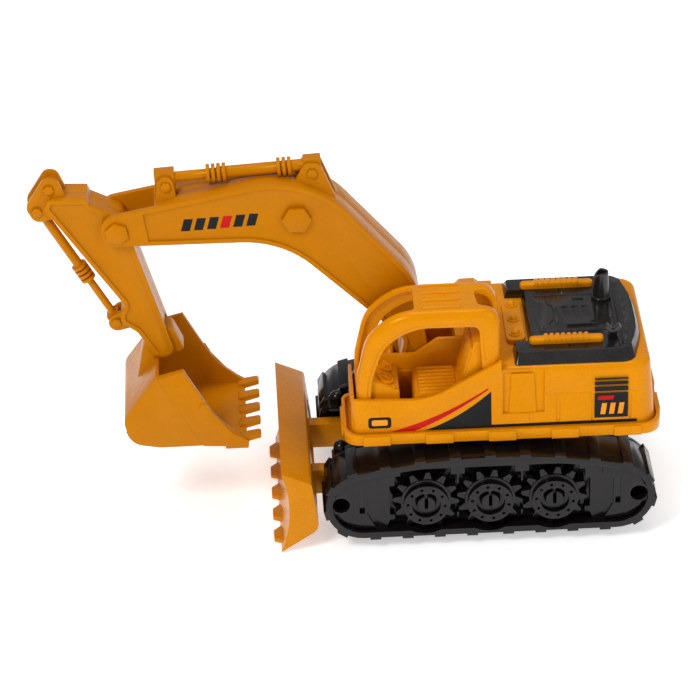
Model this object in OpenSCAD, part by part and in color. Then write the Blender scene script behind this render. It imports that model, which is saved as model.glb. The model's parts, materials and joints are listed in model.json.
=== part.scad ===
// Toy excavator: a moulded plastic crawler excavator with a dozer blade, as separate pieces.
// Frame: origin on the ground under the slewing axis, +X towards the bucket, +Y towards the
// cab side, +Z up, in millimetres. Outlines are side views in X and Z, or plans in X and Y,
// written as [x, z, corner radius] or [x, y, corner radius].

/* [Tracks] */
// Distance from the slewing axis to the centre of each rounded track end
track_end_x = 63; // [61:0.5:65]
// Radius of the rounded track ends, without the grousers
track_end_r = 19; // [18.5:0.25:19.5]
// Height of the centres of the track ends
track_end_z = 26.9; // [26.5:0.1:27.5]
// Height of the top of the track at mid length, without the grousers
track_crown_z = 52.8; // [51:0.1:53]
// Distance from the centre plane to the inner edge of a track
track_in_y = 27; // [27:0.1:27.2]
// Distance from the centre plane to the outer edge of a track
track_out_y = 54.3; // [54:0.1:55]
// Thickness of the track belt
belt_t = 3.3; // [3:0.1:3.6]
// Width of one grouser along the belt
grouser_w = 5.5; // [4:0.5:7]
// Height of one grouser
grouser_h = 1.2; // [0.8:0.1:1.4]

/* [Road gears] */
// Spacing of the three gear wheels on each track
gear_pitch = 32; // [32:0.1:32.4]
// Height of the gear axes
gear_z = 26.5; // [26:0.1:27]
// Number of teeth on a gear wheel
gear_teeth = 12; // [12:1:12]
// Radius to the tips of the gear teeth
gear_tip_r = 16.6; // [16.4:0.1:16.8]

/* [Hidden rollers] */
// Radius of the rollers that carry the toy under the tracks
roller_r = 18; // [17.5:0.1:18.2]
// Distance of each roller axle from the slewing axis
roller_x = 40; // [39:0.5:41]
// Radius of the steel roller axles
axle_r = 1.5; // [1.5:0.1:1.6]

/* [Dozer blade] */
// Width of the dozer blade
blade_w = 106; // [100:1:108]
// Distance of the blade pivot in front of the slewing axis
blade_pivot_x = 62; // [61.5:0.1:62.5]
// Height of the blade pivot
blade_pivot_z = 23.2; // [23:0.1:23.4]

/* [House] */
// Height of the underside of the house tray
tray_z = 57.6; // [57.5:0.1:58]
// Half width of the house tray, without the tabs on its rim
tray_half_w = 46; // [46:0.1:46.5]
// Height of the flat top of the engine hood
hood_z = 96.5; // [96:0.1:97]
// Half width of the house walls
house_half_w = 43.6; // [43.4:0.1:43.8]
// Height of the cab roof
cab_top_z = 129; // [128:0.5:130]

/* [Arm] */
// Sideways place of the middle plane of the boom, stick and bucket
arm_y = -5.5; // [-5.6:0.1:-5.4]
// Width of the boom
boom_w = 24; // [23.8:0.1:24.2]
// Width of the stick
stick_w = 17.4; // [17.2:0.1:17.5]
// Width of the bucket
bucket_w = 56.5; // [50:0.5:57]
// Thickness of the moulded walls of the boom and stick
arm_wall = 2; // [1.8:0.1:2.2]

/* [Hidden] */
$fn = 48;
e = 0.01;                    // small overlap that keeps cuts clean
run = 0.06;                  // radial clearance of a turning pin
gap = 0.4;                   // side clearance between moving pieces
yellow = "#f2a300";
amber = "#cb8400";
black = "#2b2826";
steel = "#b8bbbf";

// ---------- outline helpers ----------

// Points on an arc from angle a0 to angle a1, without the first one when skip is 1
function arc(c, r, a0, a1, n, skip = 0) =
    [for (i = [skip:n]) let (a = a0 + (a1 - a0) * i / n) c + r * [cos(a), sin(a)]];

function unit(v) = v / norm(v);

// The points that round the corner b between a and c
function round_corner(a, b, c, step) =
    let (p = [b[0], b[1]], r = len(b) > 2 ? b[2] : 0)
    r == 0 ? [p] :
    let (
        u = unit([a[0], a[1]] - p),
        w = unit([c[0], c[1]] - p),
        half = acos(max(-1, min(1, u * w))) / 2,
        centre = p + unit(u + w) * r / sin(half),
        start = p + u * r / tan(half) - centre,
        end = p + w * r / tan(half) - centre,
        a0 = atan2(start[1], start[0]),
        turn = atan2(end[1], end[0]) - a0,
        sweep = turn > 180 ? turn - 360 : turn < -180 ? turn + 360 : turn
    )
    arc(centre, r, a0, a0 + sweep, max(2, ceil(abs(sweep) / step)));

// Corners with radii made into a plain list of points
function rounded(v, step = 12) =
    let (n = len(v))
    [for (i = [0:n - 1]) each round_corner(v[(i + n - 1) % n], v[i], v[(i + 1) % n], step)];

// Extrudes a side view between two values of y
module slab(y0, y1) {
    translate([0, y1, 0]) rotate([90, 0, 0]) linear_extrude(y1 - y0) children();
}

// A round bar or bore along y, centred on x and z
module bar(x, z, r, y0, y1) {
    translate([x, y1, z]) rotate([90, 0, 0]) cylinder(r = r, h = y1 - y0);
}

// A hexagonal head along y
module hex(x, z, r, y0, y1, turn = 0) {
    translate([x, y1, z]) rotate([90, 0, 0]) rotate(turn) cylinder(r = r, h = y1 - y0, $fn = 6);
}

// A box from its two opposite corners
module box(a, b) {
    translate(a) cube(b - a);
}

// Children as given and mirrored to the other side
module both_sides() {
    children();
    mirror([0, 1, 0]) children();
}

module both_ends() {
    children();
    mirror([1, 0, 0]) children();
}

// ---------- tracks ----------

crown_rise = track_crown_z - track_end_z - track_end_r;
crown_reach = (track_end_x * track_end_x + crown_rise * crown_rise) / (2 * crown_rise);
crown_r = crown_reach + track_end_r;
crown_z = track_crown_z - crown_r;
crown_angle = asin(track_end_x / crown_reach);
crown_pitch = 17.3;
end_grousers = [74, 30, -14, -56];
bottom_grousers = [9, 25.2, 41.3, 57.5];
plate_y = track_in_y + 3;            // the chassis side plate ends here and the shell begins
pocket_y = 45;                       // floor of the gear pockets
wall_y = 50;                         // outer face of the side wall
panel_y = 51.8;                      // outer face of the raised end panels
screw_x = 74.3;
screw_z = 26.3;
screw_seat_y = 38;
access_r = 4.3;

// Side outline of the belt, moved out by grow
function belt(grow) = concat(
    arc([0, crown_z], crown_r + grow, 90 + crown_angle, 90 - crown_angle, 14),
    arc([track_end_x, track_end_z], track_end_r + grow, 90 - crown_angle, -90, 16, 1),
    arc([-track_end_x, track_end_z], track_end_r + grow, -90, -270 + crown_angle, 16)
);

module grouser(radius, angle) {
    rotate(angle - 90) translate([-grouser_w / 2, radius - 1]) square([grouser_w, grouser_h + 1]);
}

module grousers() {
    for (i = [-3:3])
        translate([0, crown_z]) grouser(crown_r, 90 - asin(i * crown_pitch / crown_r));
    for (a = end_grousers) {
        translate([track_end_x, track_end_z]) grouser(track_end_r, a);
        translate([-track_end_x, track_end_z]) grouser(track_end_r, 180 - a);
    }
    for (x = bottom_grousers, side = [-1, 1])
        translate([side * x - grouser_w / 2, track_end_z - track_end_r - grouser_h])
            square([grouser_w, grouser_h + 1]);
}

module belt_outline() {
    polygon(belt(0));
    grousers();
}

module belt_ring() {
    difference() {
        belt_outline();
        polygon(belt(-belt_t));
    }
}

// Raised D-shaped panel at the front end of the side wall
module end_panel() {
    intersection() {
        polygon(belt(-belt_t - 0.9));
        polygon([[56, 60], [56, 38.5], [61.5, 36], [61.5, 20.5], [53, 5], [90, 5], [90, 60]]);
    }
}

// Stepped pocket behind one gear wheel
module gear_pocket(x) {
    translate([x, gear_z]) {
        translate([-12.5, -17.8]) square([25, 36]);
        translate([-15.5, -14]) square([31, 28.5]);
        translate([-18, -8]) square([36, 17]);
    }
}

// A split peg that snaps into the gear's hub
module gear_peg(x) {
    slot_w = 1.7;
    stem_r = 4;
    difference() {
        union() {
            bar(x, gear_z, 6.5, pocket_y - 1, pocket_y + 0.6);
            bar(x, gear_z, stem_r, pocket_y - 1, 52);
            translate([x, 51.95, gear_z]) rotate([-90, 0, 0]) cylinder(r1 = 5.25, r2 = 4.4, h = 2.4);
        }
        box([x - slot_w / 2, 47.5, gear_z - 7], [x + slot_w / 2, 55, gear_z + 7]);
    }
}

// One track cover: belt edge, side wall, gear pegs and screw bosses, on the left side
module track_shell() {
    band_top = 15;
    roller_half = 17.4;
    difference() {
        union() {
            slab(plate_y + 0.05, track_out_y) belt_ring();
            slab(pocket_y - 2, wall_y) polygon(belt(-belt_t + 0.5));
            both_ends() slab(wall_y - 1, panel_y) end_panel();
            both_ends() bar(screw_x, screw_z, access_r + 1.6, screw_seat_y - 2, panel_y);
        }
        for (i = [-1:1]) {
            slab(pocket_y, wall_y + 1) gear_pocket(i * gear_pitch);
            bar(i * gear_pitch, gear_z, gear_tip_r + 0.6, pocket_y, track_out_y + 1);
        }
        slab(pocket_y, wall_y + 1)
            polygon([[-50, band_top], [50, band_top], [54, 5], [-54, 5]]);
        both_ends() {
            bar(screw_x, screw_z, access_r, screw_seat_y, track_out_y + 1);
            bar(screw_x, screw_z, 1.6, screw_seat_y - 3, screw_seat_y + 1);
            box([62.6, panel_y - 0.9, 21], [65.2, panel_y + 1, 36]);
            box([62.6, panel_y - 3.5, 21], [65.2, panel_y + 1, 24]);
            box([roller_x - roller_half, 31.2, 2], [roller_x + roller_half, 43.2, 14]);
        }
    }
    difference() {
        slab(pocket_y - 2, track_out_y) belt_ring();
        for (i = [-1:1]) bar(i * gear_pitch, gear_z, gear_tip_r + 0.6, pocket_y, track_out_y + 1);
        both_ends() bar(screw_x, screw_z, access_r, screw_seat_y, track_out_y + 1);
        both_ends() box([roller_x - roller_half, 31.2, 2], [roller_x + roller_half, 43.2, 14]);
    }
    for (i = [-1:1]) gear_peg(i * gear_pitch);
}

module left_track_shell() color(black) track_shell();
module right_track_shell() color(black) mirror([0, 1, 0]) track_shell();

// Screws that hold the track covers to the chassis side plates
module track_screws() color(steel) {
    both_sides() both_ends() {
        difference() {
            bar(screw_x, screw_z, 3, screw_seat_y, screw_seat_y + 2);
            box([screw_x - 2, screw_seat_y + 1.2, screw_z - 0.4],
                [screw_x + 2, screw_seat_y + 3, screw_z + 0.4]);
            box([screw_x - 0.4, screw_seat_y + 1.2, screw_z - 2],
                [screw_x + 0.4, screw_seat_y + 3, screw_z + 2]);
        }
        bar(screw_x, screw_z, 1.2, track_in_y + 1.8, screw_seat_y + e);
    }
}

// ---------- chassis ----------

box_front_x = 53;
box_rear_x = -56;
box_low_z = 13;
box_top_z = 45;
base_t = 2;
box_wall = 2.5;
slew_z = tray_z - 0.4;
spigot_r = 13;
spigot_z = 60.5;
arm_in_y = 17.8;
arm_out_y = 24.8;

// Cheeks that carry the blade pin, and the stop posts above them
module blade_bracket() {
    slab(arm_in_y - gap - 2.6, arm_in_y - gap)
        polygon(rounded([[50, 15], [69, 15, 6], [69, 31.4, 6], [50, 31.4]]));
    slab(arm_out_y + gap, track_in_y + 2)
        polygon(rounded([[50, 15], [69, 15, 6], [69, 31.4, 6], [50, 31.4]]));
    post_x = 73;
    post_y = 23.4;
    post_r = 3.6;
    slab(post_y - post_r, track_in_y + 2)
        polygon(rounded([[67, 36.6], [77.5, 36.6, 1.2], [77.5, 39.4, 1.2], [67, 39.4]]));
    translate([post_x, post_y, 36.9]) rotate_extrude()
        polygon(concat([[0, 0], [post_r, 0]], arc([0, 6], post_r, 0, 90, 6)));
}

// Central box with both inner track plates, moulded in one piece
module chassis_frame() color(black) {
    inside_y = 24.5;
    difference() {
        union() {
            box([box_rear_x, -track_in_y - 2, box_low_z], [box_front_x, track_in_y + 2, box_top_z]);
            translate([0, 0, box_top_z - 1]) cylinder(r = 22, h = slew_z - box_top_z + 1);
            translate([0, 0, slew_z - e]) cylinder(r = spigot_r, h = spigot_z - slew_z);
            both_sides() {
                blade_bracket();
                difference() {
                    slab(track_in_y, plate_y) belt_outline();
                    slab(track_in_y - 1, track_in_y + 1.2) polygon(belt(-belt_t));
                }
                both_ends() bar(screw_x, screw_z, 3.4, track_in_y + 1.2, screw_seat_y - 2.05);
            }
        }
        box([box_rear_x + box_wall, -inside_y, box_low_z + base_t],
            [box_front_x - box_wall, inside_y, box_top_z - box_wall]);
        box([box_rear_x + box_wall - 1, -inside_y - 1, box_low_z - 1],
            [box_front_x - box_wall + 1, inside_y + 1, box_low_z + base_t + e]);
        translate([0, 0, box_top_z - 8]) cylinder(r = 1.7, h = 30);
        bar(blade_pivot_x, blade_pivot_z, 2, -track_in_y - 1, track_in_y + 1);
        for (x = [-roller_x, roller_x]) bar(x, roller_r, axle_r + run, -plate_y - 1, plate_y + 1);
        both_sides() both_ends()
            bar(screw_x, screw_z, 1.2, track_in_y + 1.8, screw_seat_y);
    }
    for (x = [-24, 24], y = [-19, 19]) difference() {
        translate([x, y, box_low_z + base_t]) cylinder(r = 3, h = 28.5);
        translate([x, y, box_low_z]) cylinder(r = 1.2, h = 16);
    }
}

module chassis_base_plate() color(black) difference() {
    clear = 0.15;
    box([box_rear_x + box_wall - 1 + clear, -25.5 + clear, box_low_z],
        [box_front_x - box_wall + 1 - clear, 25.5 - clear, box_low_z + base_t]);
    for (x = [-24, 24], y = [-19, 19]) translate([x, y, box_low_z - 1]) cylinder(r = 1.5, h = 5);
}

module chassis_screws() color(steel) {
    for (x = [-24, 24], y = [-19, 19]) translate([x, y, 0]) {
        difference() {
            translate([0, 0, box_low_z - 1.6]) cylinder(r = 2.6, h = 1.6);
            translate([-1.8, -0.4, box_low_z - 2]) cube([3.6, 0.8, 1.2]);
            translate([-0.4, -1.8, box_low_z - 2]) cube([0.8, 3.6, 1.2]);
        }
        translate([0, 0, box_low_z - e]) cylinder(r = 1.2, h = 10);
    }
}

module slew_washer() color(steel) translate([0, 0, spigot_z]) difference() {
    cylinder(r = 17, h = 1.2);
    translate([0, 0, -1]) cylinder(r = 2, h = 4);
}

module slew_screw() color(steel) translate([0, 0, spigot_z + 1.2]) {
    difference() {
        cylinder(r = 3.8, h = 2.2);
        translate([-2.4, -0.5, 1.2]) cube([4.8, 1, 2]);
        translate([-0.5, -2.4, 1.2]) cube([1, 4.8, 2]);
    }
    translate([0, 0, -14]) cylinder(r = 1.7, h = 14 + e);
}

// ---------- rollers ----------

roller_y0 = 32;
roller_y1 = 42.4;

module axle(x) color(steel) bar(x, roller_r, axle_r, -roller_y1, roller_y1);

// A pair of rollers pressed on one axle
module rollers(x) color("#3a3736") both_sides() translate([x, roller_y0, roller_r]) rotate([-90, 0, 0]) {
    w = roller_y1 - roller_y0;
    rotate_extrude($fn = 96) polygon(rounded([
        [axle_r, 0], [5, 0, 0.5], [5, 3.5, 1], [13.5, 3.5, 1], [13.5, 0, 0.5], [roller_r, 0, 1],
        [roller_r, w, 1], [13.5, w, 0.5], [13.5, w - 3.5, 1], [5, w - 3.5, 1], [5, w, 0.5], [axle_r, w]
    ], 30));
}

module front_axle() axle(roller_x);
module rear_axle() axle(-roller_x);
module front_rollers() rollers(roller_x);
module rear_rollers() rollers(-roller_x);

// ---------- road gears ----------

// One gear wheel at x, on the left side, with its first tooth turned by turn from straight up
module road_gear(x, turn) {
    body_y0 = 45.75;
    body_y1 = 50.6;
    hub_y = 55.2;
    hub_r = 11.3;
    recess_r = 7.15;
    difference() {
        union() {
            for (i = [0:gear_teeth - 1])
                translate([x, 0, gear_z]) rotate([0, turn + i * 360 / gear_teeth, 0])
                    slab(body_y0, body_y1)
                        polygon(rounded([[-2.2, 10], [-2.2, 12.2], [-0.95, gear_tip_r, 0.6],
                                         [0.95, gear_tip_r, 0.6], [2.2, 12.2], [2.2, 10]], 30));
            bar(x, gear_z, 12.2, body_y0, body_y1);
            bar(x, gear_z, 12.6, body_y1 - 0.2, body_y1 + 0.9);
            bar(x, gear_z, hub_r, body_y1 - e, hub_y);
        }
        bar(x, gear_z, recess_r, 51.75, hub_y + 1);
        bar(x, gear_z, 4 + run, body_y0 - 1, hub_y + 1);
        for (i = [0:9]) translate([x, 0, gear_z]) rotate([0, turn + 18 + i * 36, 0])
            bar(0, 9.25, 0.8, hub_y - 1.6, hub_y + 1);
    }
}

module left_front_gear() color(black) road_gear(gear_pitch, -4);
module left_middle_gear() color(black) road_gear(0, -9);
module left_rear_gear() color(black) road_gear(-gear_pitch, -7);
module right_front_gear() color(black) mirror([0, 1, 0]) road_gear(gear_pitch, -4);
module right_middle_gear() color(black) mirror([0, 1, 0]) road_gear(0, -9);
module right_rear_gear() color(black) mirror([0, 1, 0]) road_gear(-gear_pitch, -7);

// ---------- dozer blade ----------

blade_top = [103.6, 47.3];
blade_tip = [104.8, 0.7];
blade_face_r = 69;

// Points of the hollow front face, from the tip to the top edge
blade_face =
    let (
        mid = (blade_top + blade_tip) / 2,
        half = norm(blade_top - blade_tip) / 2,
        out = unit([blade_top[1] - blade_tip[1], blade_tip[0] - blade_top[0]]),
        centre = mid + out * sqrt(blade_face_r * blade_face_r - half * half),
        a0 = atan2(blade_tip[1] - centre[1], blade_tip[0] - centre[0]),
        a1 = atan2(blade_top[1] - centre[1], blade_top[0] - centre[0])
    )
    arc(centre, blade_face_r, a0 + 360, a1, 10);

module blade_profile() {
    polygon(concat(
        blade_face,
        round_corner(blade_top, [88.7, 40.4, 2.5], [85.4, 13.6], 15),
        round_corner([88.7, 40.4], [85.4, 13.6, 6], blade_tip, 15)
    ));
}

module dozer_blade() color(amber) {
    wall = 1.8;
    half = blade_w / 2;
    tooth_pitch = 19.4;
    difference() {
        slab(-half, half) blade_profile();
        slab(-half + wall, half - wall) difference() {
            offset(delta = -wall) blade_profile();
            translate([0, -5]) square([86.6, 60]);
        }
        for (y = [-34.5, 0, 34.5])
            box([80, y - (y == 0 ? 14 : 7), 18], [90, y + (y == 0 ? 14 : 7), 34]);
    }
    for (i = [-2:2]) translate([0, i * tooth_pitch, 0.7])
        linear_extrude(2.2)
            polygon([[101, -6.6], [104.4, -6.6], [108.2, -2.6], [108.2, 4.4], [104.4, 6.2], [101, 6.2]]);
    both_sides() difference() {
        slab(arm_in_y, arm_out_y) polygon(concat(
            arc([blade_pivot_x, blade_pivot_z], 6.9, 270, 90, 12),
            [[88.2, blade_pivot_z + 6.9], [86.8, blade_pivot_z - 6.9]]
        ));
        bar(blade_pivot_x, blade_pivot_z, 2 + run, arm_in_y - 1, arm_out_y + 1);
    }
}

module blade_pin() color(steel) bar(blade_pivot_x, blade_pivot_z, 2, -track_in_y - 1, track_in_y + 1);

// ---------- house ----------

tray_front_x = 71.6;
step_x = 52;
step_y = 5.8;
tray_rear_x = -85.6;
rim_t = 1.6;
rim_top = 63.3;
floor_top = tray_z + 2.6;
cab_in_y = 10;
house_wall = 2.2;
slot_near_y = 8;
slot_far_y = -19;
slot_rear_x = 14;
boom_pivot = [34.4, 82.5];

// Plan of the tray, grown by grow
function tray_plan(grow) = rounded([
    [tray_rear_x - grow, -tray_half_w - grow, 9], [step_x + grow, -tray_half_w - grow, 5],
    [step_x + grow, step_y - grow - 3, 2], [tray_front_x + grow - 2, step_y - grow, 4],
    [tray_front_x + grow, step_y + 4, 3],
    [tray_front_x + grow, tray_half_w + grow, 8], [tray_rear_x - grow, tray_half_w + grow, 9]
], 10);

// Thickened lengths of the tray's rim
module rim_tabs() {
    tab_w = 13.5;
    side_pitch = 31.1;
    end_pitch = 23.6;
    for (i = [0:4], side = [-1, 1])
        if (side > 0 || i > 0)
            translate([55.6 - i * side_pitch - tab_w / 2, side > 0 ? 0 : -60]) square([tab_w, 60]);
    for (i = [-1:1]) translate([-95, i * end_pitch - 7]) square([20, 14]);
    translate([60, 17]) square([20, 19]);
    translate([45, -36]) square([20, 14]);
}

module house_tray() color(yellow) {
    difference() {
        union() {
            translate([0, 0, tray_z]) linear_extrude(rim_top - tray_z) polygon(tray_plan(0));
            translate([0, 0, tray_z]) linear_extrude(rim_top - tray_z - 0.4) intersection() {
                polygon(tray_plan(1));
                rim_tabs();
            }
        }
        translate([0, 0, floor_top]) linear_extrude(10) polygon(tray_plan(-rim_t));
        translate([0, 0, tray_z - 1]) cylinder(r = spigot_r + 0.08, h = 5);
        for (p = house_screw_places) translate([p[0], p[1], tray_z - 1]) cylinder(r = 1.5, h = 5);
    }
}

house_screw_places = [[-72, -34], [-72, 34], [30, -34], [-14, 34]];

module house_screws() color(steel) for (p = house_screw_places) translate([p[0], p[1], tray_z]) {
    difference() {
        translate([0, 0, -1.4]) cylinder(r = 2.6, h = 1.4);
        translate([-1.8, -0.4, -1.8]) cube([3.6, 0.8, 1.1]);
        translate([-0.4, -1.8, -1.8]) cube([0.8, 3.6, 1.1]);
    }
    translate([0, 0, -e]) cylinder(r = 1.2, h = 10);
}

// A disc with a rounded upper edge
module soft_disc(r, edge, h) {
    rotate_extrude($fn = 32) polygon(concat([[0, 0], [r, 0]],
        arc([r - edge, h - edge], edge, 0, 90, 4), [[0, h]]));
}

// Engine hood: a box with rounded upper edges, from the cab's back to the tail
module hood_block(inset, top) {
    tail = -83.2;
    hull() {
        for (y = [-1, 1]) {
            translate([tail + 9 + inset, y * (house_half_w - 9 - inset), floor_top])
                cylinder(r = 9, h = 1, $fn = 32);
            translate([tail + 11.5 + inset, y * (house_half_w - 10 - inset), floor_top + 4])
                soft_disc(9, 3, top - floor_top - 4);
            translate([-6.3 - 4, y * (house_half_w - 4 - inset), floor_top])
                box([0, -4, 0], [4, 4, 1]);
            translate([-6.3 - 4, y * (house_half_w - 5.2 - inset), top - 6])
                rotate([0, 90, 0]) mirror([1, 0, 0]) linear_extrude(4)
                    polygon(rounded([[0, -4.2], [6, -4.2, 3], [6, 4.2, 3], [0, 4.2]], 22));
        }
    }
}

// Side view of the near wall: a low door panel whose top edge sweeps up to the cab's back
door_outline = rounded([
    [-20, floor_top], [67.7, floor_top], [66.9, 82.2], [30, 80.8, 34], [-6.3, 101.6], [-6.3, 96], [-20, 96]
], 6);

far_box_outline = rounded([
    [-8, floor_top], [50.2, floor_top], [50.2, 72, 2], [43, 82, 4], [20, 86.5, 10],
    [8.5, 98.3, 1.5], [1, 98.6, 1.5], [-1.5, hood_z], [-8, hood_z]
], 15);

// Walls, hood and boom mounting, moulded in one piece
module house_shell() color(yellow) {
    recess_x = [-27.6, -6.9];
    recess_z = [71, 95.4];
    in_y = house_half_w - house_wall;
    difference() {
        union() {
            hood_block(0, hood_z);
            slab(house_half_w - house_wall, house_half_w) polygon(door_outline);
            slab(slot_near_y, cab_in_y) polygon(rounded([
                [-8, floor_top], [66, floor_top], [66, 77, 4], [57, 87.4, 4], [34.3, 87.4, 3], [23, 95.6, 3], [-8, 95.6]
            ]));
            box([66.1, slot_near_y, floor_top], [67.7, house_half_w, 82]);
            box([-7, slot_far_y, floor_top], [slot_rear_x, slot_near_y + 1, hood_z]);
            slab(-house_half_w, slot_far_y) polygon(far_box_outline);
            // apron across the front of the boom slot
            slab(slot_far_y - 1, slot_near_y + 1)
                polygon([[50.2, floor_top], [50.2, 66], [45.6, 76], [44, 75.4], [48.4, 65], [48.4, floor_top]]);
            // work lamp on the front of the far box
            translate([51.6, -30, 68.5]) rotate([0, -90, 0]) cylinder(r = 2.6, h = 4);
        }
        hollow_hood();
        // hollow far box, open at the bottom
        slab(-house_half_w + house_wall, slot_far_y - 2) offset(delta = -house_wall) polygon(concat(
            [[-8, floor_top - 4], [50.2, floor_top - 4]],
            [for (i = [2:len(far_box_outline) - 1]) far_box_outline[i]]));
        box([-7 + house_wall, slot_far_y + house_wall, floor_top - 1],
            [slot_rear_x - house_wall, slot_near_y - house_wall + 1, hood_z - house_wall]);
        bar(boom_pivot[0], boom_pivot[1], 2.5, -30, slot_near_y + 1.3);
        translate([0, 0, floor_top - 1]) cylinder(r = 17.8, h = 6);
        both_sides() side_recess(recess_x, recess_z);
        both_sides() side_lines();
        // rounded front corners of the far box and the door panel
        translate([46.2, 4 - house_half_w, floor_top - 1]) difference() {
            translate([0, -6, 0]) cube([6, 6, 40]);
            translate([0, 0, -1]) cylinder(r = 4, h = 44);
        }
        translate([66, house_half_w, floor_top - 1]) difference() {
            translate([-3, -3, 0]) cube([6, 4, 40]);
            translate([-3, -4.7, -1]) cylinder(r = 4.7, h = 44);
        }
    }
    for (p = house_screw_places) difference() {
        translate([p[0], p[1], floor_top]) cylinder(r = 2.8, h = p[0] > 0 ? 23 : 35.4);
        translate([p[0], p[1], floor_top - 1]) cylinder(r = 1.2, h = 9);
    }
}

// Inside of the hood
module hollow_hood() {
    translate([0, 0, -house_wall]) difference() {
        hood_block(house_wall, hood_z);
        box([-6.4 - house_wall, -60, 0], [10, 60, 120]);
    }
    translate([0, 0, -3]) difference() {
        hood_block(house_wall, hood_z - 6);
        box([-6.4 - house_wall, -60, 0], [10, 60, 120]);
    }
}

// Intake recess with a tapered vane in it, on the left side
module side_recess(xs, zs) {
    slab(house_half_w - 1.6, house_half_w + 3) difference() {
        polygon([[xs[0], zs[0]], [xs[1], zs[0]], [xs[1], zs[1]], [xs[0], zs[1]]]);
        polygon([[-23.6, zs[0] - 1], [-10, zs[0] - 1], [-11.3, zs[1] - 1.8], [-22.4, zs[1] - 1.8]]);
    }
    slab(house_half_w - 0.8, house_half_w + 3)
        polygon([[xs[0], zs[0]], [xs[1], zs[0]], [xs[1], zs[1]], [xs[0], zs[1]]]);
}

// Moulded panel lines behind the recess, on the left side
module side_lines() {
    line = 0.6;
    ledge_z = 91;
    slab(house_half_w - 0.7, house_half_w + 1) {
        translate([-76, ledge_z]) square([48, line]);
        translate([-35.3, 65]) square([1.9, 16.4]);
        translate([-52, 65]) square([1.2, 16.4]);
        translate([-70.6, 65]) square([1.2, 16.4]);
        translate([-33.4, 81.2]) square([5.6, line]);
        translate([-50.8, 81.2]) square([15.5, line]);
        translate([-76, 81.2]) square([5.4, line]);
    }
}

// ---------- cab ----------

cab_out_y = house_half_w - house_wall - 0.05;
cab_wall = 2.2;

// Side view of the cab, moved in by shrink
function cab_outline(shrink) = let (s = shrink) rounded([
    [-6.2 + s, floor_top], [65.4 - s, floor_top], [64.6 - s, 93, 30], [59.6 - s * 0.8, 116 - s * 0.6, 22],
    [44 - s * 0.3, cab_top_z - s, 26], [-6.2 + s, cab_top_z - s, 9]
], 8);

window_outline = rounded([
    [2.6, 79], [58.2, 79], [57.2, 92, 26], [51.5, 110.5, 20], [37, 120.8, 26], [4.4, 120.3, 3.5], [2.8, 94]
], 8);

module cab_block(shrink, y0, y1, edge) {
    hull() for (i = [0:4]) let (a = i * 22.5)
        slab(y0 + edge * (1 - sin(a)), y1 - edge * (1 - sin(a)))
            polygon(cab_outline(shrink + edge * (1 - cos(a))));
}

// Roof and pillars in one piece, open below
module cab_frame() color(yellow) {
    near = cab_out_y;
    far = cab_in_y + 0.05;
    post = 6;
    difference() {
        cab_block(0, far, near, 3.6);
        cab_block(cab_wall, far + cab_wall, near - cab_wall, 1.6);
        box([-6.2 + cab_wall, far + cab_wall, 50], [65.4 - cab_wall, near - cab_wall, 80]);
        translate([0, 0, floor_top - 1]) cylinder(r = 17.8, h = 6);
        slab(far - 1, near + 1) polygon(window_outline);
        // shallow step round the near window
        slab(near - 0.5, near + 1) offset(delta = 2) polygon(window_outline);
        // windscreen and rear window, between the side frames
        windscreen(far + post, near - post);
        rear_window(far + post, near - post);
    }
    for (i = [0:3]) roof_rib(14.4 + i * 7.1);
    translate([21.2, 24.4, cab_top_z - 0.3]) sphere(r = 1, $fn = 16);
}

// Opening seen from above over the front of the cab
module windscreen(y0, y1) {
    translate([0, 0, 84]) linear_extrude(60)
        polygon(rounded([[35.7, y0 - 1, 2.5], [80, y0 - 1], [80, y1 + 1], [35.7, y1 + 1, 2.5]]));
}

module rear_window(y0, y1) {
    translate([0, 0, 99]) linear_extrude(60)
        polygon(rounded([[-20, y0 + 3.5], [6, y0 + 3.5, 3.5], [4.6, y1 - 0.5, 3.5], [-20, y1 - 0.5]]));
}

module roof_rib(y) {
    translate([13.2, y, cab_top_z]) rotate([0, 90, 0]) cylinder(r = 1, h = 18.7, $fn = 24);
}

// Seat with a ribbed cushion and back on a plinth
module cab_seat() color(yellow) {
    y0 = 12.8;
    y1 = 38.8;
    slab(y0 + 2, y1 - 2) polygon([[9, floor_top], [34, floor_top], [36, 72], [9, 72]]);
    slab(y0, y1) polygon(rounded([
        [14, 70], [36.8, 70, 1.5], [36.4, 81.4, 3], [13.6, 81, 1], [6.6, 111, 2], [1.4, 110, 2], [6, 70]
    ]));
    rib_pitch = (y1 - y0 - 3.4) / 7;
    for (i = [0:7]) translate([0, y0 + 1.7 + i * rib_pitch, 0]) {
        translate([15.6, 0, 81.3]) rotate([0, 90, 0]) cylinder(r = 1.15, h = 18, $fn = 24);
        translate([13.1, 0, 83.5]) rotate([0, -13.1, 0]) cylinder(r = 1.15, h = 24, $fn = 24);
    }
}

// Instrument console with two dials
module dashboard() color(yellow) {
    y0 = 13;
    y1 = 38.4;
    slope = 26;
    slab(y0, y1) polygon(rounded([
        [43.6, floor_top], [61.4, floor_top], [61.4, 88, 1.5], [57, 90.2, 1.5], [43.6, 83.6, 1]
    ]));
    translate([50.6, 0, 87.1]) rotate([0, -slope, 0]) {
        for (y = [20, 31.5]) translate([0, y, 0]) {
            difference() {
                cylinder(r = 4.6, h = 1.3);
                translate([0, 0, 0.3]) cylinder(r = 3.5, h = 2);
            }
            cylinder(r = 1.2, h = 1.4);
        }
        for (y = [14.8, 25.7, 36.9]) translate([-4.6, y, 0]) cylinder(r = 1, h = 0.9);
    }
}

// ---------- deck ----------

deck_top = 101.5;
notch_x = -21.3;
notch_y = 25;

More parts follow.
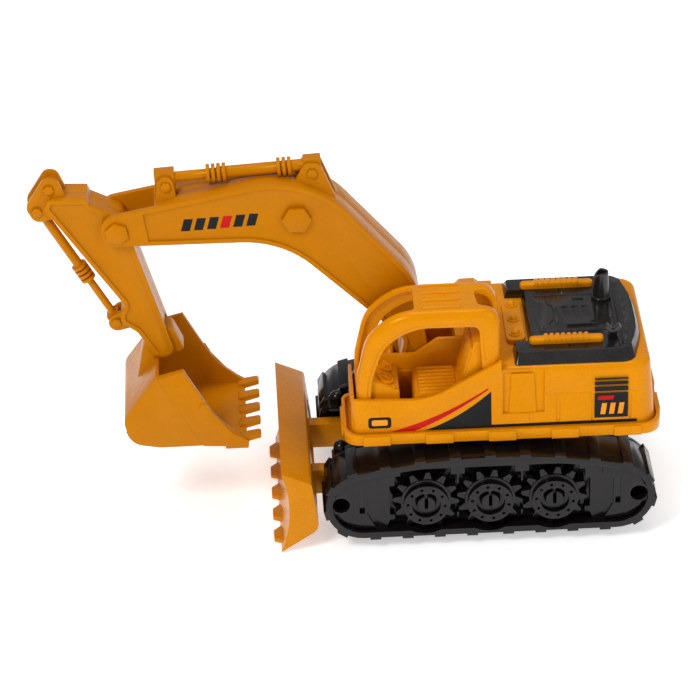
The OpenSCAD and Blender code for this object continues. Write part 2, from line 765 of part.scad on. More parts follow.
module deck_plan(s) {
    front = -13.3 - s * 0.28;
    side = 40 - s;
    polygon(concat(
        rounded([[front, -side, 1.5], [front, side, 1.5], [-72 + s * 0.3, side + 0.4, 7],
                 [-78 + s * 0.42, 16, 60], [-78 + s * 0.42, -16, 60], [-72 + s * 0.3, -side - 0.4, 7]], 9)
    ));
}

// Black engine cover with two forward arms round the lamp bar
module deck_cover() color(black) {
    z0 = hood_z;
    groove = 0.45;
    difference() {
        union() {
            hull() {
                translate([0, 0, z0]) linear_extrude(0.4) deck_plan(0);
                translate([0, 0, deck_top - 0.1]) linear_extrude(0.1) deck_plan(5);
            }
            intersection() {
                translate([0, 0, deck_top - 1]) linear_extrude(1.5) rear_strip();
                translate([0, 0, z0]) linear_extrude(10) deck_plan(5);
            }
            deck_rivets();
            // hinge bump and grab bar
            box([-52, -14.4, deck_top - 1], [-46.6, -12.8, deck_top + 0.7]);
            slab(11.2, 13) polygon([[-57.6, deck_top - 1], [-40.6, deck_top - 1],
                                   [-41.8, deck_top + 1.3], [-56.6, deck_top + 1.3]]);
        }
        // notch between the forward arms
        slab(-notch_y, notch_y) polygon([[notch_x - 2.4, deck_top + 1], [-5, deck_top + 1],
                                        [-5, z0 - 1], [notch_x, z0 - 1]]);
        translate([0, 0, z0 - e]) linear_extrude(deck_top - z0 - 2) offset(delta = -4.5) difference() {
            deck_plan(3);
            translate([notch_x - 4, -notch_y - 2]) square([30, 2 * notch_y + 4]);
        }
        // panel lines
        translate([0, 0, deck_top - groove]) linear_extrude(3) deck_lines();
        // three louvred vents
        for (i = [0:2]) slab(-6.6, 5) polygon([[-40.6 - i * 4.9, deck_top + 1], [-40.6 - i * 4.9, deck_top - 0.9],
                                              [-44.8 - i * 4.9, deck_top], [-44.8 - i * 4.9, deck_top + 1]]);
        for (y = [-1, 1]) translate([-39.7, y * 26.8, deck_top - 1]) cylinder(r = 1.1, h = 3);
        translate([-61.2, -13.8, deck_top - 1.6]) cylinder(r = 3, h = 4);
        translate([-63, 24.6, deck_top - 1.6]) cylinder(r = 1.1, h = 4);
    }
}

module rear_strip() {
    polygon(rounded([[-67.2, -31.5, 2], [-67.2, 31.5, 2], [-72.4, 31.5, 2], [-75, 0, 110], [-72.4, -31.5, 2]], 9));
}

module deck_rivets() {
    for (i = [0:7]) let (y = -27 + i * 7.7) translate([-70.9 + 2.3 * y * y / 900, y, deck_top + 0.2]) rivet();
    for (p = [[-29, -11.5], [-29, 13], [-37, -6.4], [-37, 6.8], [-42, -20], [-42, 20.5], [-64, 4], [-64, 13]])
        translate([p[0], p[1], deck_top - 0.3]) rivet();
}

module rivet() {
    sphere(r = 0.9, $fn = 16);
}

// Shallow lines that divide the cover into plates
module deck_lines() {
    w = 0.5;
    for (y = [-17.4, 17.4]) translate([-65, y]) square([38, w]);
    translate([-65.4, -34]) square([w, 68]);
    translate([-41, 20]) square([w, 14]);
    translate([-41, -34]) square([w, 14]);
    polygon([[-33, -17], [-33.5, -17], [-33.5, -9.4], [-36, -6.4], [-36, 6.4], [-33.5, 9.4], [-33.5, 17],
             [-33, 17], [-33, 9.1], [-35.5, 6.1], [-35.5, -6.1], [-33, -9.1]]);
}

// Yellow grab rail with a ribbed middle, standing on the cover at y
module deck_rail(y) color(yellow) {
    x0 = -58.2;
    x1 = -21.3;
    r = 2.3;
    rib_n = 8;
    translate([0, y, deck_top]) {
        hull() for (x = [x0 + r, x1 - r]) translate([x, 0, 0]) soft_disc(r, 1.3, 3);
        for (i = [0:rib_n - 1]) translate([x0 + 8.5 + i * (x1 - x0 - 17) / (rib_n - 1), 0, 2.3])
            rotate([90, 0, 0]) translate([0, 0, -2.5]) cylinder(r = 1.25, h = 5, $fn = 24);
        translate([-39.7, 0, -1]) cylinder(r = 1.1, h = 1.5);
    }
}

module left_deck_rail() deck_rail(26.8);
module right_deck_rail() deck_rail(-26.8);

// Row of three warning lamps on a chamfered bar
module lamp_bar() color(yellow) {
    translate([-15.6, 0, hood_z]) {
        linear_extrude(2.6) polygon(rounded([[-4.6, -20, 3], [4.6, -20, 3], [4.6, 20, 3], [-4.6, 20, 3]], 45));
        for (y = [-13.8, 0, 13.8]) translate([0, y, 2.4]) {
            cylinder(r = 3.1, h = 0.9);
            translate([0, 0, 0.6]) sphere(r = 2.3, $fn = 32);
        }
    }
}

// Stub exhaust with a slanted mouth
module exhaust_pipe() color(black) translate([-61.2, -13.8, deck_top]) {
    difference() {
        union() {
            cylinder(r = 4.8, h = 1.4);
            cylinder(r1 = 4.3, r2 = 3.5, h = 15);
            translate([0, 0, -1.6]) cylinder(r = 3, h = 2);
        }
        translate([0, 0, 4]) cylinder(r = 2.4, h = 14);
        translate([0, 0, 15.4]) rotate([0, 38, 0]) translate([-12, -12, 0]) cube([24, 24, 20]);
    }
}

// Forked bracket at the back of the deck
module deck_bracket() color(black) translate([-63, 24.6, deck_top]) {
    translate([0, 0, -1.6]) cylinder(r = 1.1, h = 2);
    slab(-1.6, 1.6) polygon([[-2.4, 0], [2.4, 0], [1.4, 2.6], [4, 6], [2.8, 7.4], [0, 4.4], [-2.8, 7.4],
                            [-4, 6], [-1.4, 2.6]]);
}

// ---------- boom ----------

boom_y0 = arm_y - boom_w / 2;
boom_y1 = arm_y + boom_w / 2;
stick_pivot = [178.8, 161.6];
fork_gap = stick_w + 2 * 0.5;
fork_x = 160;
rim_w = 2.2;
panel_d = 1.1;
boom_cyl_front = [154, 182.8];
boom_cyl_rear = [82.5, 186.9];
cap_place = [90.8, 165];

boom_outline = rounded([
    [186.3, 169.5, 7.4], [84.5, 189.3, 50], [32.6, 127.7, 35], [25.8, 73.9, 7.3], [43, 73.9, 7.3],
    [39.2, 94.4, 5], [98.4, 153.4, 49], [186.3, 154, 7.4]
], 5);

// Lug shapes that hold the ends of the boom's cylinder
module boom_lugs() {
    polygon(rounded([[148.5, 172], [150.6, 187.6, 4], [157.6, 187.6, 4], [160, 170]], 20));
    polygon(rounded([[92, 180], [86.5, 191.8, 4], [78.6, 191.8, 4], [69.5, 168], [80, 168]], 20));
}

// Half of the boom on the left of its middle plane
module boom_half(screw_side) {
    y_in = arm_y;
    y_out = boom_y1;
    floor_y = y_out - panel_d - 1.5;
    cheek_y = arm_y + fork_gap / 2;
    difference() {
        union() {
            slab(y_in, y_out) polygon(boom_outline);
            slab(arm_y + 3.3, arm_y + 5.5) boom_lugs();
        }
        // recessed panel on the outside
        slab(y_out - panel_d, y_out + 1) intersection() {
            offset(delta = -rim_w) polygon(boom_outline);
            polygon(rounded([[0, 60], [163, 60], [163.6, 156.5, 1.5], [165.6, 171, 1.5], [150, 200], [0, 200]]));
        }
        // hollow inside, behind the fork
        slab(y_in - 1, floor_y) intersection() {
            offset(delta = -arm_wall) polygon(boom_outline);
            translate([0, 60]) square([fork_x - arm_wall, 140]);
        }
        slab(y_in - 1, cheek_y) translate([fork_x, 140]) square([40, 50]);
    }
    difference() {
        union() {
            bar(boom_pivot[0], boom_pivot[1], 5.5, y_in, floor_y + e);
            for (p = boom_screw_places) bar(p[0], p[1], 4, y_in, floor_y + e);
        }
    }
}

boom_screw_places = [[62, 143], [110, 166.5], [148, 163.5]];

module boom_bores() {
    bar(boom_pivot[0], boom_pivot[1], 2.5 + run, boom_y0 - 1, boom_y1 + 1);
    bar(stick_pivot[0], stick_pivot[1], 2.5, boom_y0 - 1, boom_y1 + 1);
    bar(boom_cyl_front[0], boom_cyl_front[1], 1.5, boom_y0, boom_y1);
    bar(boom_cyl_rear[0], boom_cyl_rear[1], 1.5, boom_y0, boom_y1);
    bar(cap_place[0], cap_place[1], 2, boom_y0 - 1, boom_y1 + 1);
    for (p = boom_screw_places) {
        bar(p[0], p[1], 1.2, boom_y0 + 4, boom_y1 - 4);
        bar(p[0], p[1], 2.6, boom_y0 - 1, boom_y0 + 3);
        bar(p[0], p[1], 1.3, boom_y0 - 1, boom_y0 + 6);
    }
}

module boom_left_shell() color(amber) difference() {
    boom_half();
    boom_bores();
}

module boom_right_shell() color(amber) difference() {
    translate([0, 2 * arm_y, 0]) mirror([0, 1, 0]) boom_half();
    boom_bores();
}

// Screws that close the boom, from its right side
module boom_screws() color(steel) for (p = boom_screw_places) {
    arm_screw(p, boom_y0 + 3, 2.4, 14);
}

// A screw with its head at y, pointing left
module arm_screw(p, y, head_r, reach) {
    difference() {
        bar(p[0], p[1], head_r, y - 1.6, y);
        box([p[0] - 1.7, y - 2, p[1] - 0.35], [p[0] + 1.7, y - 0.9, p[1] + 0.35]);
        box([p[0] - 0.35, y - 2, p[1] - 1.7], [p[0] + 0.35, y - 0.9, p[1] + 1.7]);
    }
    bar(p[0], p[1], 1.2, y - e, y + reach);
}

// A dummy cylinder between two pins: eye blocks, barrel, rod and ringed collars
module ram(a, b, split, rod_r, barrel_r, collar_r, block, lift, end_rings) {
    length = norm(b - a);
    angle = atan2(b[1] - a[1], b[0] - a[0]);
    half = 3.15;
    ring = 2.1;
    difference() {
        translate([a[0], arm_y, a[1]]) rotate([0, -angle, 0]) {
            translate([0, 0, lift]) rotate([0, 90, 0]) {
                cylinder(r = rod_r, h = length * split);
                translate([0, 0, length * split]) cylinder(r = barrel_r, h = length * (1 - split));
                for (i = [-2:1]) translate([0, 0, length * split + (i + 0.15) * ring * 1.25])
                    cylinder(r = collar_r, h = ring * 0.8);
                for (i = [1:1:end_rings]) translate([0, 0, length - 9 - i * ring * 1.25])
                    cylinder(r = collar_r, h = ring * 0.8);
            }
            box([-block, -half, lift - block * 0.8], [block * 0.9, half, block * 0.72]);
            box([length - 4, -half, lift - block * 0.8], [length + block * 0.9, half, block * 0.72]);
        }
        bar(a[0], a[1], 1.5, arm_y - 9, arm_y + 9);
        bar(b[0], b[1], 1.5, arm_y - 9, arm_y + 9);
    }
}

module boom_cylinder() color(amber) difference() {
    ram(boom_cyl_front, boom_cyl_rear, 0.35, 2.5, 3, 4.7, 5.2, -2.2, 3);
    slab(boom_y0, boom_y1) polygon(boom_outline);
}

// Pins of a dummy cylinder, with hexagonal heads
module ram_pins(places, half) {
    for (p = places) {
        bar(p[0], p[1], 1.5, arm_y - half, arm_y + half);
        for (side = [-1, 1]) {
            y = arm_y + side * (half + 0.6);
            hex(p[0], p[1], 2.6, y - 0.6, y + 0.6, 10);
        }
    }
}

module boom_cylinder_pins() color(amber) ram_pins([boom_cyl_front, boom_cyl_rear], 5.5);

// Large hexagonal caps on both faces of the boom
module boom_hex_caps() color(amber) for (side = [-1, 1]) {
    face = arm_y + side * (boom_w / 2 - panel_d);
    outer = face + side * 2.4;
    hex(cap_place[0], cap_place[1], 7.4, min(face, outer), max(face, outer), 0);
    inner = face - side * 3;
    bar(cap_place[0], cap_place[1], 2, min(face, inner), max(face, inner));
}

module boom_pin() color(steel) {
    bar(boom_pivot[0], boom_pivot[1], 2.5, slot_far_y - 2, slot_near_y + 1.3);
}

// Pivot between boom and stick: a shaft with a large hexagonal head on each side
module stick_pin() color(amber) {
    bar(stick_pivot[0], stick_pivot[1], 2.5, boom_y0, boom_y1);
    hex(stick_pivot[0], stick_pivot[1], 6, boom_y1, boom_y1 + 1.6, 20);
    hex(stick_pivot[0], stick_pivot[1], 6, boom_y0 - 1.6, boom_y0, 20);
}

// ---------- stick ----------

stick_y0 = arm_y - stick_w / 2;
stick_y1 = arm_y + stick_w / 2;
bucket_pivot = [158.8, 93.4];
stick_cyl_top = [217.2, 171.6];
stick_cyl_low = [182, 107];
link_pin = [210.8, 183.6];

stick_outline = rounded([
    [211.4, 179.4, 2], [192.6, 178.6, 0.8], [191.2, 175.2, 0.8], [175.6, 167.2, 6], [153, 88.2, 5],
    [162.6, 87.4, 5], [171.9, 103.2, 8], [179.6, 108.4, 4], [179.4, 114, 4], [176.6, 117.8, 4], [213.4, 174.6, 2]
], 9);

// Curved ear at the head of the stick
module stick_ear() {
    polygon(rounded([[200, 172], [203.4, 181, 2], [207, 189.8, 4.7], [213, 189.4, 4.7], [222.8, 174, 5],
                     [218.5, 165.4, 4.4], [206, 168]], 12));
}

// Lug near the foot of the stick
module stick_lug() {
    polygon(rounded([[176, 114], [181, 112.4, 3], [187.2, 107.6, 4.2], [183.4, 101.6, 4.2], [174, 104]], 20));
}

// Half of the stick on the left of its middle plane
module stick_half() {
    y_in = arm_y;
    y_out = stick_y1;
    floor_y = y_out - panel_d - 1.5;
    difference() {
        union() {
            slab(y_in, y_out) polygon(stick_outline);
            slab(arm_y + 3.3, arm_y + 5.3) {
                stick_ear();
                stick_lug();
            }
        }
        slab(y_out - panel_d, y_out + 1) intersection() {
            offset(delta = -rim_w) polygon(stick_outline);
            polygon([[140, 60], [240, 60], [240, 190], [188.5, 190], [186.6, 160], [170, 147], [150, 147]]);
        }
        slab(y_in - 1, floor_y) intersection() {
            offset(delta = -arm_wall) polygon(stick_outline);
            translate([130, 106]) square([120, 90]);
        }
        // fork for the bucket's bracket
        slab(y_in - 1, arm_y + 5.9) polygon([[140, 106], [166, 106], [174, 98], [174, 70], [140, 70]]);
    }
    bar(stick_pivot[0], stick_pivot[1], 5, y_in, floor_y + e);
    for (p = stick_screw_places) bar(p[0], p[1], 3.7, y_in, floor_y + e);
}

stick_screw_places = [[199, 170], [177, 132]];

module stick_bores() {
    bar(stick_pivot[0], stick_pivot[1], 2.5 + run, stick_y0 - 1, stick_y1 + 1);
    bar(bucket_pivot[0], bucket_pivot[1], 2, stick_y0 + 1.7, stick_y1 - 1.7);
    for (p = [stick_cyl_top, stick_cyl_low, link_pin]) bar(p[0], p[1], 1.5, stick_y0, stick_y1);
    for (p = stick_screw_places) {
        bar(p[0], p[1], 1.2, stick_y0 + 3, stick_y1 - 3.5);
        bar(p[0], p[1], 2.4, stick_y0 - 1, stick_y0 + 2.4);
        bar(p[0], p[1], 1.3, stick_y0 - 1, stick_y0 + 5);
    }
}

module stick_left_shell() color(amber) difference() {
    stick_half();
    stick_bores();
}

module stick_right_shell() color(amber) difference() {
    translate([0, 2 * arm_y, 0]) mirror([0, 1, 0]) stick_half();
    stick_bores();
}

module stick_screws() color(steel) for (p = stick_screw_places) {
    arm_screw(p, stick_y0 + 2.4, 2.2, 9);
}

module stick_cylinder() color(amber) difference() {
    ram(stick_cyl_low, stick_cyl_top, 0.42, 1.9, 2.4, 3.9, 4.2, 0, 0);
    slab(stick_y0, stick_y1) polygon(stick_outline);
}

module stick_cylinder_pins() color(amber) {
    ram_pins([stick_cyl_top, stick_cyl_low], 5.3);
    ram_pins([link_pin], 5.3);
}

// ---------- bucket ----------

bucket_y0 = arm_y - bucket_w / 2;
bucket_y1 = arm_y + bucket_w / 2;
bucket_wall = 1.8;

// Side view of the bucket's outside: back, heel, floor, lip and mouth
bucket_outline = rounded([
    [163.6, 87.6, 0.8], [180.9, 63.5, 8], [177.6, 49.4, 9], [163, 46.6, 10], [119.4, 47, 0.6],
    [120.4, 50.2, 0.6], [133, 61, 30], [139.4, 71.6, 3], [149.8, 91.4, 0.6]
], 12);

// Side view of the bucket's inside, open at the mouth
bucket_inside = rounded([
    [162.4, 86], [178.9, 62.8, 7], [175.9, 51, 8], [163, 48.5, 9], [112, 48.9], [112, 80], [150, 98], [161, 92]
], 12);

module bucket() color(amber) {
    tooth_n = 5;
    tooth_pitch = (bucket_w - 6.2) / (tooth_n - 1);
    ear_half = 5.4;
    difference() {
        slab(bucket_y0, bucket_y1) polygon(bucket_outline);
        slab(bucket_y0 + bucket_wall, bucket_y1 - bucket_wall) polygon(bucket_inside);
        bar(bucket_pivot[0], bucket_pivot[1], 8.6, stick_y0 - 0.6, stick_y1 + 0.6);
    }
    // teeth along the lip
    for (i = [0:tooth_n - 1]) translate([0, bucket_y0 + 3.1 + i * tooth_pitch, 0])
        intersection() {
            slab(-4, 4) polygon([[123, 47.1], [123, 50], [113.4, 52], [112.3, 51.2], [112.6, 49.6]]);
            linear_extrude(60) polygon([[123, -3.1], [123, 3.1], [112.4, 2.3], [112.4, -2.3]]);
        }
    // side cutters and the thick edge panels beside the mouth
    for (side = [0, 1]) {
        y0 = side == 0 ? bucket_y0 - 0.7 : bucket_y1 - e;
        y1 = side == 0 ? bucket_y0 + e : bucket_y1 + 0.7;
        slab(y0, y1) polygon(rounded([
            [149.6, 91, 0.5], [139.2, 71.2, 3], [132.6, 60.6, 30], [119.8, 49.6, 0.5], [119.4, 45.4, 0.5],
            [141.4, 46.9, 1], [162.8, 87.2, 0.5]], 15));
    }
    for (side = [0, 1]) {
        y0 = side == 0 ? bucket_y0 - 1.4 : bucket_y1;
        y1 = side == 0 ? bucket_y0 : bucket_y1 + 1.4;
        slab(y0, y1) polygon(rounded([
            [140, 74, 2], [136, 66], [127, 54.6], [118.6, 49], [119, 45.2, 0.5], [130.4, 45.2, 0.5],
            [131, 51, 3], [139, 62.6, 4], [143.4, 69, 3]], 20));
    }
    // wear ribs round the heel
    for (p = round_corner([180.9, 63.5], [177.6, 49.4, 9], [163, 46.6], 12))
        bar(p[0], p[1], 0.8, bucket_y0 + 2, bucket_y1 - 2);
    // block that takes the stick's foot
    difference() {
        slab(arm_y - ear_half, arm_y + ear_half) polygon(rounded([
            [173.4, 72.4], [169.6, 92.4, 4], [161, 103.4, 5], [154.6, 102.8, 4], [149.2, 90.4, 0.5], [150.6, 89.4],
            [163, 86]
        ]));
        bar(bucket_pivot[0], bucket_pivot[1], 2 + run, arm_y - 10, arm_y + 10);
    }
}

module bucket_pin() color(amber) {
    bar(bucket_pivot[0], bucket_pivot[1], 2, stick_y0 + 1.7, stick_y1 - 1.7);
}

chassis_frame();
chassis_base_plate();
chassis_screws();
left_track_shell();
right_track_shell();
track_screws();
front_axle();
front_rollers();
rear_axle();
rear_rollers();
left_front_gear();
left_middle_gear();
left_rear_gear();
right_front_gear();
right_middle_gear();
right_rear_gear();
dozer_blade();
blade_pin();
slew_washer();
slew_screw();
house_tray();
house_shell();
house_screws();
cab_frame();
cab_seat();
dashboard();
deck_cover();
left_deck_rail();
right_deck_rail();
lamp_bar();
exhaust_pipe();
deck_bracket();
boom_pin();
boom_left_shell();
boom_right_shell();
boom_screws();
boom_cylinder();
boom_cylinder_pins();
boom_hex_caps();
stick_pin();
stick_left_shell();
stick_right_shell();
stick_screws();
stick_cylinder();
stick_cylinder_pins();
bucket();
bucket_pin();
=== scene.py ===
import math

import bmesh
import bpy
from mathutils import Matrix, Vector
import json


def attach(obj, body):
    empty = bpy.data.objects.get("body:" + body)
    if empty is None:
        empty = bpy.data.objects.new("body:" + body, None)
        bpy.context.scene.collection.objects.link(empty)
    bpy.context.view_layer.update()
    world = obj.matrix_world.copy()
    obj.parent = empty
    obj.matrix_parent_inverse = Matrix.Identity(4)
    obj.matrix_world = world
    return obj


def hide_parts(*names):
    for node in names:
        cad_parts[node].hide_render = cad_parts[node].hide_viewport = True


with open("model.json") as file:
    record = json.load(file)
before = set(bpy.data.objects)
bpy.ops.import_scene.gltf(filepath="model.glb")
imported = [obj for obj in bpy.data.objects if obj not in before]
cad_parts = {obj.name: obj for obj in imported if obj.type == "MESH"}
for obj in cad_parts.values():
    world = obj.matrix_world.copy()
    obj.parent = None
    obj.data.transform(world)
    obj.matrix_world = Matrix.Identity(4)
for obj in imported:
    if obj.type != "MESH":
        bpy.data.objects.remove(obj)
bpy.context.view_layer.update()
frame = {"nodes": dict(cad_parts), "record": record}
nodes = frame["nodes"]
bodies = frame["record"]["behaviour"]["bodies"]
slots = {part["node"]: part["material_slot"] for part in frame["record"]["subparts"]}
MM = 0.001


def in_scene(name, data):
    """A new object that shows the data, linked to the scene."""
    obj = bpy.data.objects.new(name, data)
    bpy.context.scene.collection.objects.link(obj)
    return obj


# ---------- materials ----------

MOTTLE_SPAN = (0.35, 0.65)    # stretch of the cloud noise that fades from the dark to the light colour
GLOSS_SPAN = (0.35, 0.75)     # stretch of the scuff noise that varies the roughness
ROUGH_SPREAD = (-0.05, 0.13)  # how far the roughness goes below and above its middle value
DUST_SPAN = (0.62, 0.85)      # only the strongest scuffs show as a paler haze
MIX_A, MIX_B, MIX_OUT = 6, 7, 2  # the colour sockets of a Mix node


def link(tree, source, output, target, socket):
    tree.links.new(source.outputs[output], target.inputs[socket])


def node(tree, kind, **values):
    """A shader node; a value that isn't one of its inputs is set as a property."""
    made = tree.nodes.new(kind)
    for key, value in values.items():
        if key in made.inputs:
            made.inputs[key].default_value = value
        else:
            setattr(made, key, value)
    return made


def remap(tree, source, span, low, high):
    """A node that maps a stretch of the source's factor to the range from low to high."""
    made = node(tree, "ShaderNodeMapRange")
    made.inputs["From Min"].default_value = span[0]
    made.inputs["From Max"].default_value = span[1]
    made.inputs["To Min"].default_value = low
    made.inputs["To Max"].default_value = high
    link(tree, source, "Fac", made, "Value")
    return made


def moulded(name, dark, light, rough, edge=0.00022, metal=0.0, spot=60.0, shine=0.3, tint=(1, 1, 1),
            worn=None):
    """Procedural moulded finish: cloudy colour, uneven gloss, fine grain, softened edges and faint scuffs."""
    material = bpy.data.materials.new(name)
    material.use_nodes = True
    tree = material.node_tree
    bsdf = tree.nodes["Principled BSDF"]
    coords = node(tree, "ShaderNodeTexCoord")

    cloud = node(tree, "ShaderNodeTexNoise", Scale=spot, Detail=4.0, Roughness=0.55)
    grain = node(tree, "ShaderNodeTexNoise", Scale=2200.0, Detail=2.0)
    scuff = node(tree, "ShaderNodeTexNoise", Scale=380.0, Detail=6.0, Roughness=0.7, Distortion=1.5)
    for noise in (cloud, grain, scuff):
        link(tree, coords, "Object", noise, "Vector")

    ramp = node(tree, "ShaderNodeValToRGB")
    for stop, place, colour in zip(ramp.color_ramp.elements, MOTTLE_SPAN, (dark, light)):
        stop.position = place
        stop.color = (*colour, 1)
    link(tree, cloud, "Fac", ramp, "Fac")

    haze = node(tree, "ShaderNodeMix", data_type="RGBA")
    link(tree, remap(tree, scuff, DUST_SPAN, 0.0, 0.12), "Result", haze, "Factor")
    link(tree, ramp, "Color", haze, MIX_A)
    haze.inputs[MIX_B].default_value = (*(worn or light), 1)
    link(tree, haze, MIX_OUT, bsdf, "Base Color")

    gloss = remap(tree, scuff, GLOSS_SPAN, rough + ROUGH_SPREAD[0], rough + ROUGH_SPREAD[1])
    link(tree, gloss, "Result", bsdf, "Roughness")

    soft = node(tree, "ShaderNodeBevel", samples=4)
    soft.inputs["Radius"].default_value = edge
    bump = node(tree, "ShaderNodeBump", Strength=0.25, Distance=0.000008)
    link(tree, grain, "Fac", bump, "Height")
    link(tree, soft, "Normal", bump, "Normal")
    link(tree, bump, "Normal", bsdf, "Normal")

    bsdf.inputs["Metallic"].default_value = metal
    bsdf.inputs["Specular IOR Level"].default_value = shine
    bsdf.inputs["Specular Tint"].default_value = (*tint, 1)
    return material


GOLD = (1.0, 0.62, 0.12)
CRISP = 0.0001  # edge softening of prints and paper, in metres
YELLOW = moulded("yellow plastic", (0.67, 0.228, 0.0003), (0.71, 0.245, 0.0005), 0.25, shine=0.42, tint=GOLD,
                 worn=(0.74, 0.28, 0.01))
AMBER = moulded("amber plastic", (0.485, 0.157, 0.0003), (0.515, 0.170, 0.0004), 0.30, shine=0.34, tint=GOLD,
                worn=(0.56, 0.20, 0.008))
BLADE = moulded("blade plastic", (0.56, 0.190, 0.002), (0.60, 0.210, 0.004), 0.24, shine=0.6, tint=GOLD,
                worn=(0.62, 0.24, 0.012))
BLACK = moulded("black plastic", (0.0035, 0.003, 0.0028), (0.006, 0.005, 0.0045), 0.16, shine=0.34,
                worn=(0.03, 0.027, 0.025))
DECK = moulded("deck plastic", (0.006, 0.005, 0.0045), (0.010, 0.009, 0.008), 0.20, shine=0.62,
               worn=(0.035, 0.032, 0.03))
ROLLER = moulded("roller plastic", (0.012, 0.011, 0.011), (0.018, 0.017, 0.016), 0.45, shine=0.2,
                 worn=(0.06, 0.058, 0.055))
STEEL = moulded("zinc-plated steel", (0.50, 0.51, 0.53), (0.62, 0.63, 0.65), 0.30, edge=0.0002, metal=1.0,
                shine=0.5, worn=(0.35, 0.35, 0.36))
INK = moulded("black print", (0.006, 0.006, 0.006), (0.010, 0.010, 0.010), 0.40, edge=CRISP, shine=0.15,
              worn=(0.03, 0.03, 0.03))
RED = moulded("red print", (0.46, 0.001, 0.001), (0.52, 0.002, 0.001), 0.35, edge=CRISP, shine=0.15,
              worn=(0.54, 0.01, 0.008))
PALE = moulded("yellow print", (0.80, 0.27, 0.001), (0.84, 0.30, 0.002), 0.32, edge=CRISP,
               worn=(0.85, 0.36, 0.03))
PAPER = moulded("studio paper", (0.90, 0.90, 0.90), (0.92, 0.92, 0.92), 0.8, edge=CRISP, spot=3.0, shine=0.1)

FINISH_OF_SLOT = {
    "house_yellow": YELLOW, "arm_amber": AMBER, "black": BLACK, "roller_black": ROLLER, "steel": STEEL,
}
FINISH_OF_NODE = {"dozer_blade": BLADE, "deck_cover": DECK, "exhaust_pipe": DECK, "deck_bracket": DECK}
for name, obj in nodes.items():
    obj.data.materials.clear()
    obj.data.materials.append(FINISH_OF_NODE.get(name, FINISH_OF_SLOT[slots[name]]))


# ---------- softened mouldings ----------

ROUNDING = 0.22 * MM             # radius worked on every crisp edge
WELD = 0.004 * MM                # points of the CAD mesh closer than this are one point
SLIVER = 0.001 * MM              # edges shorter than this are removed after rounding
FLAT = math.radians(0.6)         # faces that differ by less are one flat face
SHARP = math.radians(35)         # edges that turn by more are crisp
PLAIN = {                        # hidden or turned metal pieces that keep their CAD mesh
    "chassis_base_plate", "chassis_screws", "track_screws", "front_axle", "rear_axle", "blade_pin",
    "slew_washer", "slew_screw", "house_screws", "boom_pin", "boom_screws", "stick_screws", "bucket_pin",
}


def weld(work, distance):
    bmesh.ops.remove_doubles(work, verts=work.verts, dist=distance)
    bmesh.ops.dissolve_degenerate(work, dist=distance, edges=work.edges)


def soften(name, body):
    """A copy of a CAD node with its moulded edges rounded, standing for the node."""
    work = bmesh.new()
    work.from_mesh(nodes[name].data)
    weld(work, WELD)
    bmesh.ops.dissolve_limit(work, angle_limit=FLAT, verts=work.verts, edges=work.edges)
    crisp = [e for e in work.edges if len(e.link_faces) == 2 and e.calc_face_angle(0.0) > SHARP]
    bmesh.ops.bevel(work, geom=crisp, offset=ROUNDING, offset_type="OFFSET", segments=2, profile=0.5,
                    affect="EDGES", clamp_overlap=True)
    weld(work, SLIVER)
    for face in work.faces:
        face.smooth = True
    for edge in work.edges:
        edge.smooth = len(edge.link_faces) == 2 and edge.calc_face_angle(math.pi) < SHARP
    mesh = bpy.data.meshes.new(name + "_moulding")
    work.to_mesh(mesh)
    work.free()
    mesh.materials.append(nodes[name].data.materials[0])
    copy = in_scene(name + "_moulding", mesh)
    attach(copy, body)
    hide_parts(name)


body_of = {member: body for body, members in bodies.items() for member in members}
for name in sorted(nodes):
    if name not in PLAIN:
        soften(name, body_of[name])


# ---------- printed decals ----------
# Outlines are X and Z in millimetres on a wall that faces +Y.

PRINT = 0.06                     # thickness of one layer of print
WALL = 43.6                      # Y of the house's left wall
BOOM_FACE = 5.4                  # Y of the boom's sunk left face
SILL = 63.5                      # Z where the house's prints start
DOOR_EDGE = -1.4                 # X where the door's wedge ends and the pinstripe starts
TAIL_FRONT, TAIL_REAR = -52.3, -68.9  # X of the tail panel's ends


def sheet(name, body, outline, wall, material):
    """A thin flat print."""
    n = len(outline)
    front = [(x * MM, (wall + PRINT) * MM, z * MM) for x, z in outline]
    back = [(x * MM, wall * MM, z * MM) for x, z in outline]
    faces = [tuple(range(n)), tuple(range(2 * n - 1, n - 1, -1))]
    faces += [(i, i + n, (i + 1) % n + n, (i + 1) % n) for i in range(n)]
    mesh = bpy.data.meshes.new(name)
    mesh.from_pydata(front + back, [], faces)
    work = bmesh.new()
    work.from_mesh(mesh)
    bmesh.ops.recalc_face_normals(work, faces=work.faces)
    work.to_mesh(mesh)
    work.free()
    mesh.materials.append(material)
    obj = in_scene(name, mesh)
    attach(obj, body)


def bent(points, steps=12):
    """A smooth curve from the first to the third point, pulled towards the second."""
    (ax, az), (bx, bz), (cx, cz) = points
    for i in range(steps + 1):
        t = i / steps
        u = 1 - t
        yield (u * u * ax + 2 * u * t * bx + t * t * cx, u * u * az + 2 * u * t * bz + t * t * cz)


def block(x0, z0, x1, z1):
    return [(x1, z0), (x1, z1), (x0, z1), (x0, z0)]


def round_box(x0, z0, x1, z1, r, steps=5):
    corners = [(x1 - r, z1 - r, 0), (x0 + r, z1 - r, 90), (x0 + r, z0 + r, 180), (x1 - r, z0 + r, 270)]
    for cx, cz, start in corners:
        for i in range(steps + 1):
            angle = math.radians(start + 90 * i / steps)
            yield (cx + r * math.cos(angle), cz + r * math.sin(angle))


def slanted(x, z, width, height, lean):
    """A slanted bar whose lower front corner is at (x, z)."""
    return [(x, z), (x - width, z), (x - width - lean, z + height), (x - lean, z + height)]


def house_print(name, outline, material, layer=0):
    sheet(name, "house", list(outline), WALL + layer * PRINT, material)


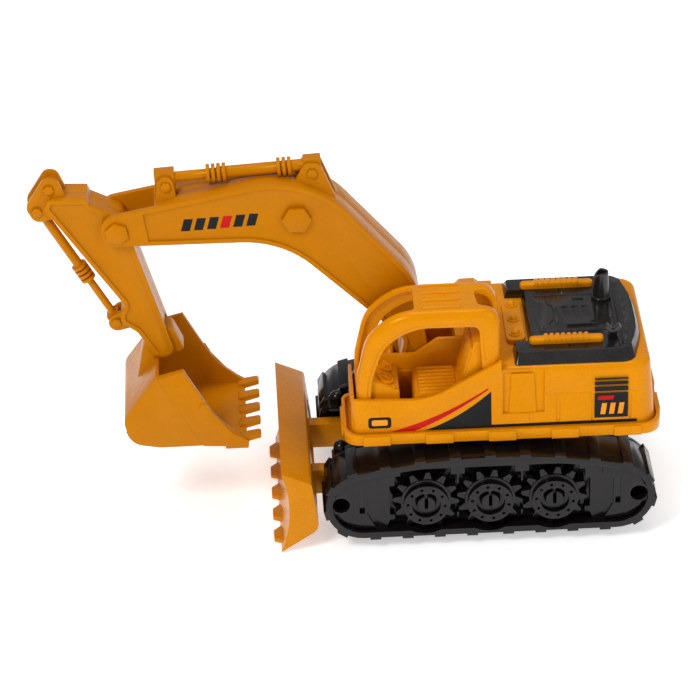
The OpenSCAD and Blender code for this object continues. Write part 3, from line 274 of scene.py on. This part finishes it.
swoosh_top = list(bent(((49.0, SILL), (24.0, 70.0), (0.2, 86.6))))
swoosh_bottom = list(bent(((37.0, SILL), (22.0, 69.0), (0.2, 85.6))))
house_print("door_swoosh", swoosh_top + swoosh_bottom[::-1], RED)
wedge = list(bent(((32.0, SILL), (15.0, 69.0), (-1.2, 84.6))))
house_print("door_wedge", wedge + [(DOOR_EDGE, SILL)], INK)
house_print("side_pinstripe", block(-73.5, SILL, DOOR_EDGE, SILL + 1.7), INK)
house_print("door_handle_rim", round_box(48.2, 65.8, 59.6, 72.2, 1.6), INK)
house_print("door_handle_grip", round_box(50.0, 67.4, 57.9, 70.7, 0.9), PALE, layer=1)

for i, (z, tall) in enumerate([(88.6, 1.0), (85.6, 1.9), (82.0, 2.6)]):
    house_print(f"tail_bar_{i + 1}", block(TAIL_REAR, z, TAIL_FRONT, z + tall), INK)
house_print("tail_panel", round_box(TAIL_REAR, 66.6, TAIL_FRONT, 81.0, 0.4), INK)
for i in range(3):
    house_print(f"tail_mark_{i + 1}", slanted(-55.2 - 4.3 * i, 68.6, 2.5, 6.4, 0.8), PALE, layer=1)
house_print("tail_mark_red", slanted(-53.8, 77.0, 7.7, 2.2, 0.5), RED, layer=1)

MARK_START, MARK_STEP = 147.6, 6.4
for i, ink in enumerate([INK, INK, INK, RED, INK, INK]):
    x = MARK_START - i * MARK_STEP
    z = 160.6 + (MARK_START - x) * 0.05
    sheet(f"boom_mark_{i + 1}", "boom", slanted(x, z, 4.4, 6.6, 1.8), BOOM_FACE, ink)


# ---------- floor, light and camera ----------

LIGHT_TARGET = (0.06, 0.0, 0.08)
FOCAL_RATIO = 5.1414286          # focal length over the width of the sensor
EYE = (0.11867, 1.53641, 1.0289)
AIM = (-0.02907, -0.85174, -0.52316)
PICTURE_RIGHT = (-0.99865, 0.04726, -0.02146)


def area(name, place, size, power):
    data = bpy.data.lights.new(name, "AREA")
    data.size = size
    data.energy = power
    obj = in_scene(name, data)
    obj.location = place
    obj.rotation_euler = (Vector(place) - Vector(LIGHT_TARGET)).to_track_quat("Z", "Y").to_euler()


bpy.ops.mesh.primitive_plane_add(size=30, location=(0, 0, 0))
floor = bpy.context.object
floor.name = "floor"
paper = PAPER.node_tree.nodes["Principled BSDF"]
paper.inputs["Emission Color"].default_value = (1, 1, 1, 1)
paper.inputs["Emission Strength"].default_value = 0.45
floor.data.materials.append(PAPER)

world = bpy.data.worlds.new("studio")
bpy.context.scene.world = world
world.use_nodes = True
sky = world.node_tree.nodes["Background"]
sky.inputs["Color"].default_value = (1, 1, 1, 1)
sky.inputs["Strength"].default_value = 0.36
area("key", (0.75, 0.9, 1.3), 0.42, 13)
area("fill", (-0.9, 1.0, 0.7), 0.6, 4)
area("top", (0.0, -0.3, 1.5), 0.8, 7)

camera = bpy.data.cameras.new("photo view")
camera.sensor_width = 36
camera.lens = camera.sensor_width * FOCAL_RATIO
camera.clip_end = 50
eye = in_scene("photo view", camera)
forward = Vector(AIM).normalized()
right = Vector(PICTURE_RIGHT)
right = (right - forward * right.dot(forward)).normalized()
up = right.cross(forward)
eye.matrix_world = Matrix((right, up, -forward)).transposed().to_4x4()
eye.location = EYE
bpy.context.scene.camera = eye
bpy.context.scene.view_settings.view_transform = "Standard"
